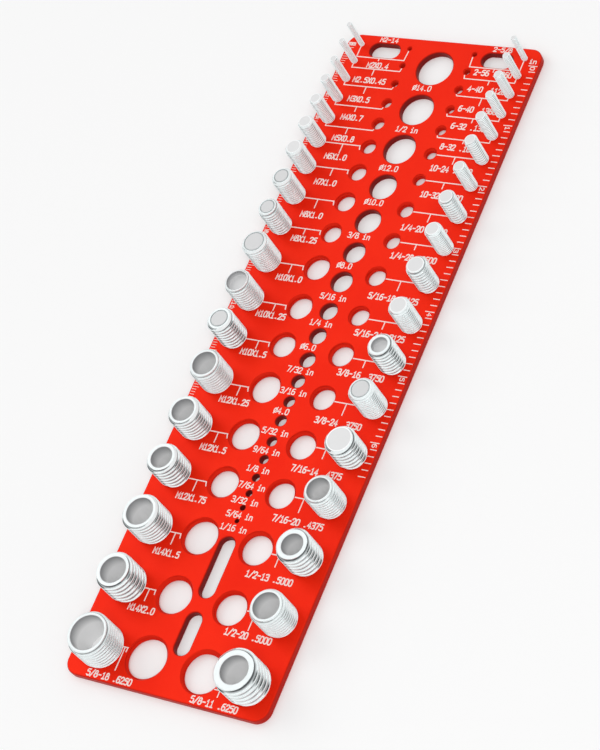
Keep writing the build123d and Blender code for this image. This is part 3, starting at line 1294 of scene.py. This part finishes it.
@dataclass
class Printing:
    """Everything printed on the plate: leaders, sizes and the two rules.

    hook_drops, rim_gap, turn_slant and stud_gap are in millimetres.
    """

    size_font: StrokeFont = StrokeFont(pen=0.48 * MM)
    gauge_font: StrokeFont = StrokeFont(height=2.1 * MM)
    head_font: StrokeFont = StrokeFont(height=1.8 * MM)
    rule_font: StrokeFont = StrokeFont(height=1.6 * MM, pen=0.34 * MM)
    finish: PrintedWhite = PrintedWhite()
    leader_pen: float = 0.42 * MM
    hook_drops: tuple[float, ...] = (0.0, 0.5, 1.0, 1.5)
    rim_gap: float = 0.05
    turn_slant: float = 0.3
    stud_gap: float = 0.2

    def __post_init__(self) -> None:
        """Finds the plate's lower edge and its length in millimetres."""
        low, high = node_box("plate")
        self.low = low[1]
        self.length = (high[1] - low[1]) / MM

    def foot(self, thread: StatedThread) -> Triple:
        """Returns a stud's x, its row's y and its radius in the printing's millimetres."""
        return thread.stud[0] / MM, (thread.stud[1] - self.low) / MM, thread.form.major / 2 / MM

    def row(self, mark: ThreadMark) -> float:
        """Returns the y of a thread's row in the printing's millimetres."""
        return self.foot(threads()[mark.name])[1]

    def leader(self, mark: ThreadMark) -> list[Corner]:
        """Works out a leader, from the stud's foot to the tapped hole's rim.

        A leader ends where it meets the rim's circle, half a pen's width before it. On the
        left it has a hook that follows the rim down.

        Args:
            mark: the thread's printing.

        Returns:
            The leader's corners.
        """
        thread = threads()[mark.name]
        stud_x, row, radius = self.foot(thread)
        side = math.copysign(1, stud_x)
        hole_x = thread.hole[0] / MM
        rim = (thread.form.mouth + self.leader_pen / 2) / MM + self.rim_gap
        level = row + mark.line
        if mark.turn is not None:
            end_x = mark.turn - self.turn_slant * side
            end = (end_x, row - chord(rim, end_x - hole_x))
            return [(stud_x, row - radius), (stud_x, level), (mark.turn, level), end]
        start = (stud_x - side * chord(radius, mark.line), level)
        drops = self.hook_drops if side < 0 else self.hook_drops[:1]
        return [start, *((hole_x + side * chord(rim, mark.line - d), level - d) for d in drops)]

    def beside_studs(self, reach: float, y: float) -> float:
        """Finds where a rule's tick ends.

        Args:
            reach: the tick's inner x.
            y: its height.

        Returns:
            The reach, or an x just before the foot of a stud that is in the way.
        """
        side = math.copysign(1, reach)
        for thread in threads().values():
            stud_x, row, radius = self.foot(thread)
            foot = radius + self.stud_gap
            if stud_x * side > 0 and abs(y - row) < foot:
                reach = side * max(abs(reach), abs(stud_x) + chord(foot, y - row))
        return reach

    def leaders(self) -> InkLayer:
        """Draws the leader lines, from each stud past a tick to its tapped hole.

        Returns:
            Their layer.
        """
        layer = InkLayer()
        for mark in METRIC_MARKS + INCH_MARKS:
            layer.line(self.leader_pen, *self.leader(mark))
            ends = [(mark.tick, self.row(mark) + height) for height in (mark.line, mark.tick_end)]
            layer.line(self.leader_pen, *ends)
        return layer

    def words(self, font: StrokeFont, texts: Iterable[tuple[str, float, float]]) -> InkLayer:
        """Writes texts at their places.

        Args:
            font: the alphabet.
            texts: each text with its lower left corner.

        Returns:
            Their layer.
        """
        layer = InkLayer()
        for text, x, y in texts:
            layer.write(font, text, x, y)
        return layer

    def rule(self, rule: Rule) -> InkLayer:
        """Draws a rule, counted down from the top: ticks, numerals and the unit's sign.

        Args:
            rule: its sizes.

        Returns:
            Its layer.
        """
        layer = InkLayer()
        for tick in range(rule.ticks):
            y = self.length - rule.drop - tick * rule.spacing
            layer.line(rule.pen * MM, (rule.start, y), (self.beside_studs(rule.reach(tick), y), y))
            if tick % 10 == 0:
                x, drop = rule.numeral
                layer.write(self.rule_font, str(tick // 10), x, y - drop, True)
        x, drop = rule.sign_place
        layer.write(self.head_font, rule.sign, x, self.length - drop)
        return layer

    def build(self) -> None:
        """Makes all the layers in the white of the marks."""
        white = self.finish.material()
        self.leaders().finish("leader_lines", white)
        for name, marks in (("metric_sizes", METRIC_MARKS), ("inch_sizes", INCH_MARKS)):
            texts = ((m.text, m.text_x, self.row(m) + m.text_y) for m in marks)
            self.words(self.size_font, texts).finish(name, white)
        self.words(self.gauge_font, GAUGE_TEXTS).finish("gauge_sizes", white)
        self.words(self.head_font, HEAD_TEXTS).finish("unit_signs", white)
        for rule in RULES:
            self.rule(rule).finish(rule.name, white)


@dataclass(frozen=True)
class Studio:
    """Floor, lamps, world and camera.

    The lamps are each a place, a size and a power. The flags are dark places in the world:
    the way to the middle, and the cosines of the angles at which the dark starts and is full.
    The camera's place and its three axes come from a fit to the plate's outline and marks.
    """

    floor_level: float = -0.00005
    floor_reach: float = 4.0
    floor_lift: float = 0.11
    air: float = 0.6
    flags: tuple[tuple[Vector, float, float], ...] = (
        (Vector((0.41, 0.15, 0.9)), 0.945, 0.985),
        (Vector((-0.9, -0.25, 0.3)), 0.9, 0.96),
    )
    key: tuple[Triple, float, float] = ((-2.0, 0.47, 1.59), 1.5, 12.0)
    fill: tuple[Triple, float, float] = ((1.25, -0.85, 2.4), 1.2, 29.0)
    lens: float = 118.4
    eye_mm: Triple = (439.05, -308.64, 648.68)
    right: Triple = (0.8382, 0.3737, -0.3972)
    up: Triple = (-0.14656, 0.85585, 0.49603)
    forward: Triple = (-0.52529, 0.35757, -0.77215)

    def floor(self) -> None:
        """Makes a wide white floor that shows as paper white and keeps the shadow."""
        shell = Shell()
        half = np.array([self.floor_reach, self.floor_reach])
        ring = shell.add_points(stadium(np.zeros(2), half, 1.0, self.floor_level, 6))
        shell.fan(ring, np.array([0.0, 0.0, self.floor_level]), True)
        material, bench = new_material("paper_floor")
        path = "ShaderNodeLightPath"
        seen = bench.add(path, output="Is Camera Ray") + bench.add(path, output="Is Glossy Ray")
        seen = seen + bench.add(path, output="Is Transmission Ray")
        paper = bench.add("ShaderNodeBsdfDiffuse", None, {"Color": (0.85, 0.85, 0.85)})
        inputs = {"Color": (1.0, 1.0, 1.0), "Strength": seen * self.floor_lift}
        lift = bench.add("ShaderNodeEmission", None, inputs)
        both = bench.add("ShaderNodeAddShader", None, (paper, lift))
        bench.add("ShaderNodeOutputMaterial", None, {"Surface": both})
        shell.mesh_object("studio_floor", material)

    def lamp(self, name: str, place: Triple, size: float, power: float) -> Object:
        """Adds a square lamp that faces the object.

        Args:
            name: the lamp's name.
            place: its position.
            size: its side.
            power: its watts.

        Returns:
            The lamp.
        """
        data = bpy.data.lights.new(name, "AREA")
        data.size = size
        data.energy = power
        lamp = bpy.data.objects.new(name, data)
        bpy.context.scene.collection.objects.link(lamp)
        lamp.location = place
        lamp.rotation_euler = (-Vector(place)).to_track_quat("-Z", "Y").to_euler()
        return lamp

    def world(self) -> None:
        """Sets a white world that the camera and metal see at full strength.

        Metal sees the dark flags in it, so that turned edges stand out: one on the right and
        one low on the left.
        """
        world = bpy.data.worlds.new("studio_air")
        bpy.context.scene.world = world
        world.use_nodes = True
        bench = NodeBench(world.node_tree)
        path = "ShaderNodeLightPath"
        glossy = bench.add(path, output="Is Glossy Ray")
        through = bench.add(path, output="Is Transmission Ray")
        seen = bench.between(bench.add(path, output="Is Camera Ray") + glossy + through, 0.0, 1.0)
        toward = bench.add("ShaderNodeTexCoord", output="Generated")
        strength = seen * (1 - self.air) + self.air
        for middle, outer, inner in self.flags:
            inputs = (toward, tuple(middle.normalized()))
            near = bench.add("ShaderNodeVectorMath", {"operation": "DOT_PRODUCT"}, inputs, "Value")
            strength = strength * (1 - bench.between(near, outer, inner) * glossy)
        inputs = {"Color": (1.0, 1.0, 1.0), "Strength": strength}
        light = bench.add("ShaderNodeBackground", None, inputs)
        bench.add("ShaderNodeOutputWorld", None, {"Surface": light})

    def camera(self) -> None:
        """Sets the camera at the photograph's place and lens."""
        data = bpy.data.cameras.new("photo_camera")
        data.lens = self.lens
        data.sensor_width = 36.0
        data.sensor_fit = "AUTO"
        data.clip_start = 0.05
        data.clip_end = 20.0
        camera = bpy.data.objects.new("photo_camera", data)
        bpy.context.scene.collection.objects.link(camera)
        axes = (Vector(self.right), Vector(self.up), -Vector(self.forward))
        turn = Matrix([axis.normalized() for axis in axes]).transposed().to_4x4()
        camera.matrix_world = Matrix.Translation(Vector(self.eye_mm) * MM) @ turn
        bpy.context.scene.camera = camera

    def build(self) -> None:
        """Makes the whole studio. Metal doesn't see the fill lamp."""
        self.floor()
        self.world()
        self.lamp("key_lamp", *self.key)
        self.lamp("fill_lamp", *self.fill).visible_glossy = False
        self.camera()
        bpy.context.scene.view_settings.view_transform = "Standard"


def main() -> None:
    """Builds the object and the studio."""
    logging.basicConfig(level=logging.INFO, format="%(name)s: %(message)s")
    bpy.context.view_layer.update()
    CheckerPlate().build()
    total = StudRank().build()
    log.info("studs: %d triangles in all", total)
    Printing().build()
    Studio().build()


if __name__ == "__main__":
    main()
